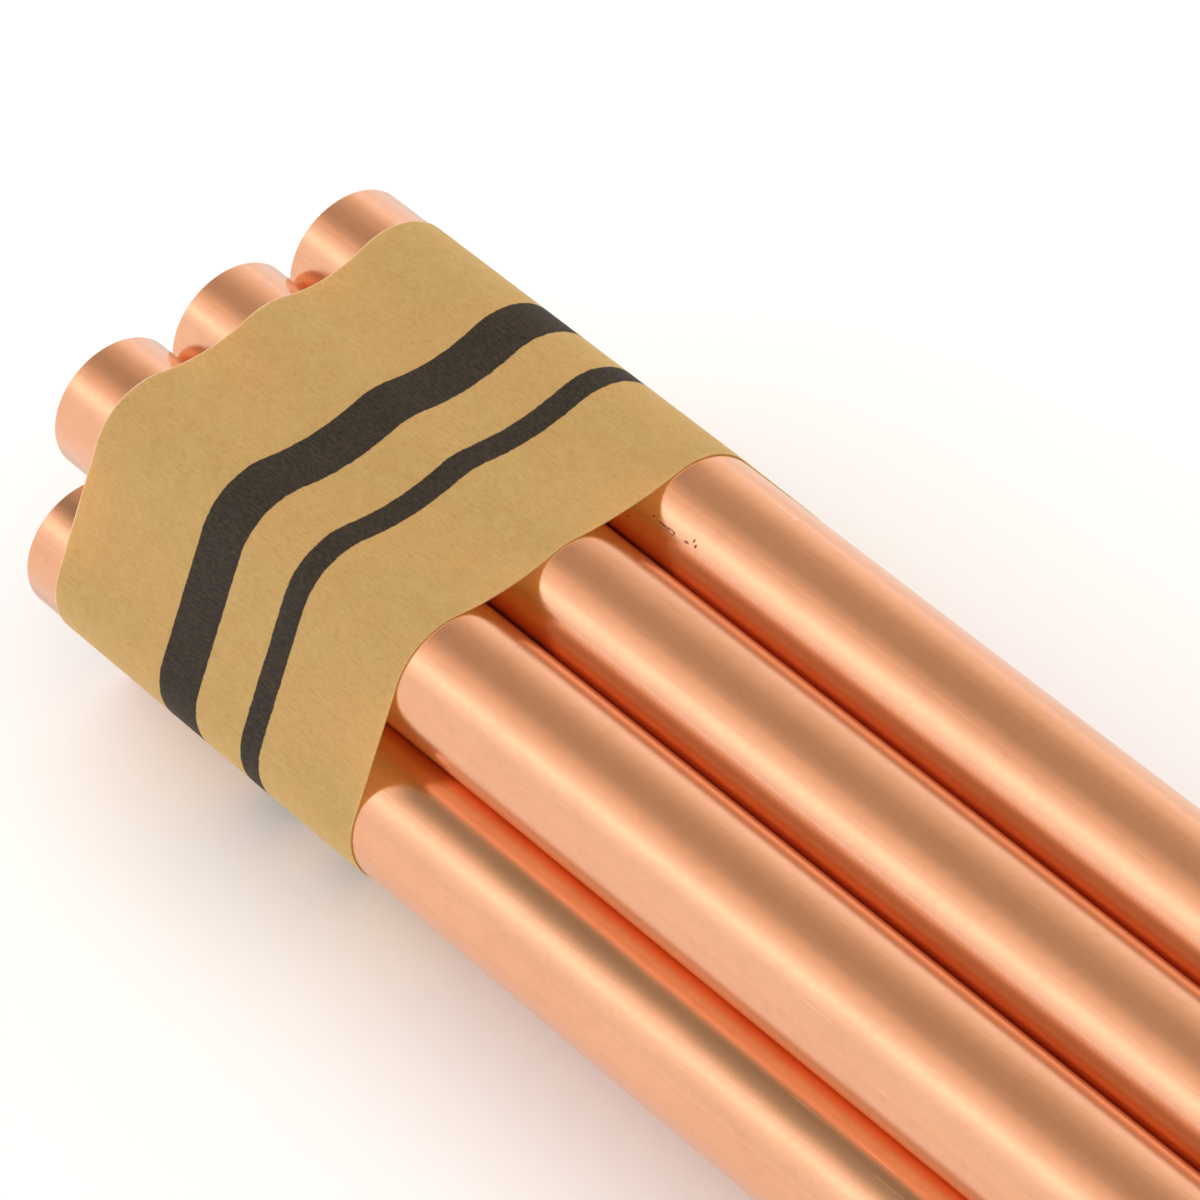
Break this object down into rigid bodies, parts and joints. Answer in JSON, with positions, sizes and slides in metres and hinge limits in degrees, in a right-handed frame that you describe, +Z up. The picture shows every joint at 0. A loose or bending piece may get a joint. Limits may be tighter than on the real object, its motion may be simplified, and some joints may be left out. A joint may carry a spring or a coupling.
{
  "type": "banded copper pipe bundle",
  "caption": "Bundle of straight thin-walled copper pipe lengths, nested in staggered rows and held together by a kraft paper band near each end.",
  "frame": {"origin": "middle of the bundle, on the floor that it lies on", "axes": "+X along the pipes, away from the end with the printed band; +Y across the rows; +Z up"},
  "size_m": [2.0032, 0.0888, 0.0609],
  "materials": {
    "copper": "satin drawn copper",
    "kraft_paper": "matt brown kraft paper"
  },
  "bodies": {
    "root": {"pipe_bottom_1": "copper", "pipe_bottom_2": "copper", "pipe_bottom_3": "copper", "pipe_middle_1": "copper", "pipe_middle_2": "copper", "pipe_middle_3": "copper", "pipe_middle_4": "copper", "pipe_top_1": "copper", "pipe_top_2": "copper", "pipe_top_3": "copper", "paper_band_left": "kraft_paper", "paper_band_right": "kraft_paper"}
  },
  "joints": []
}
